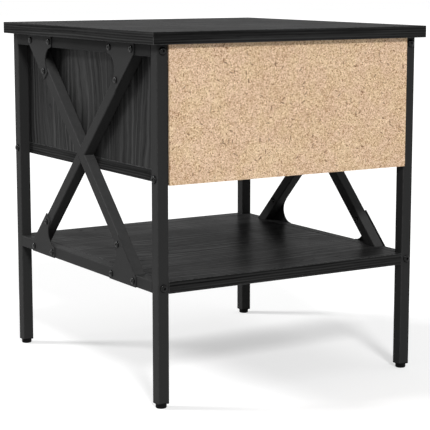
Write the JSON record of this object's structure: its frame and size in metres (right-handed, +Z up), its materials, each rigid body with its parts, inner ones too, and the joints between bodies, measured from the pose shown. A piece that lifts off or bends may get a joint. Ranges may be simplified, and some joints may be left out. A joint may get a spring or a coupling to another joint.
{
  "type": "side table",
  "caption": "Side table with a drawer above an open shelf, on a black square-tube frame with crossed bars and corner plates at both sides and a raw chipboard back.",
  "frame": {"origin": "on the floor under the middle of the tabletop", "axes": "+Z up, the drawer opens towards -Y, the raw back panel faces +Y, +X is the right side seen from the drawer"},
  "size_m": [0.4, 0.42, 0.45],
  "materials": {
    "black_board": "satin foil with an embossed oak grain",
    "raw_board": "raw chipboard",
    "black_steel": "fine powder coat",
    "black_plastic": "moulded",
    "dark_screw": "black zinc",
    "zinc": "bright zinc plate",
    "ball_steel": "polished",
    "grey_board": "plain dark foil",
    "beech": "turned, dry"
  },
  "bodies": {
    "table": {"tabletop": "black_board", "lower_shelf": "black_board", "case_floor": "black_board", "case_side_left": "black_board", "case_side_right": "black_board", "back_panel": "raw_board", "leg_front_left": "black_steel", "leg_front_right": "black_steel", "leg_back_left": "black_steel", "leg_back_right": "black_steel", "top_rail_left": "black_steel", "top_rail_right": "black_steel", "lower_rail_left": "black_steel", "lower_rail_right": "black_steel", "brace_long_left": "black_steel", "brace_long_right": "black_steel", "brace_upper_left": "black_steel", "brace_upper_right": "black_steel", "brace_lower_left": "black_steel", "brace_lower_right": "black_steel", "gusset_top_front_left": "black_steel", "gusset_top_front_right": "black_steel", "gusset_top_back_left": "black_steel", "gusset_top_back_right": "black_steel", "gusset_low_front_left": "black_steel", "gusset_low_front_right": "black_steel", "gusset_low_back_left": "black_steel", "gusset_low_back_right": "black_steel", "foot_front_left": "black_plastic", "foot_front_right": "black_plastic", "foot_back_left": "black_plastic", "foot_back_right": "black_plastic", "frame_bolts": "dark_screw", "rail_end_nuts": "zinc", "case_bolts": "dark_screw", "case_insert_nuts": "zinc", "gusset_case_screws": "dark_screw", "gusset_shelf_screws": "dark_screw", "brace_screws": "dark_screw", "tabletop_screws": "dark_screw", "case_dowels": "beech", "runner_outer_left": "zinc", "runner_outer_right": "zinc", "runner_outer_screws": "zinc"},
    "drawer": {"drawer_front": "black_board", "drawer_side_left": "grey_board", "drawer_side_right": "grey_board", "drawer_back": "grey_board", "drawer_bottom": "grey_board", "drawer_pull": "black_steel", "drawer_pull_screws": "dark_screw", "runner_inner_left": "zinc", "runner_inner_right": "zinc", "runner_inner_screws": "zinc", "drawer_dowels": "beech", "drawer_back_screws": "dark_screw"},
    "cage_left": {"ball_cage_left": "zinc", "runner_balls_left": "ball_steel"},
    "cage_right": {"ball_cage_right": "zinc", "runner_balls_right": "ball_steel"}
  },
  "joints": [
    {"name": "drawer_slide", "type": "slide", "parent": "table", "child": "drawer", "axis": [0, -1, 0], "range_m": [0, 0.225]},
    {"name": "cage_left_slide", "type": "slide", "parent": "table", "child": "cage_left", "axis": [0, -1, 0], "range_m": [0, 0.1125]},
    {"name": "cage_right_slide", "type": "slide", "parent": "table", "child": "cage_right", "axis": [0, -1, 0], "range_m": [0, 0.1125]}
  ],
  "couplings": [
    {"joint": "cage_left_slide", "follows": "drawer_slide", "ratio": 0.5},
    {"joint": "cage_right_slide", "follows": "drawer_slide", "ratio": 0.5}
  ]
}
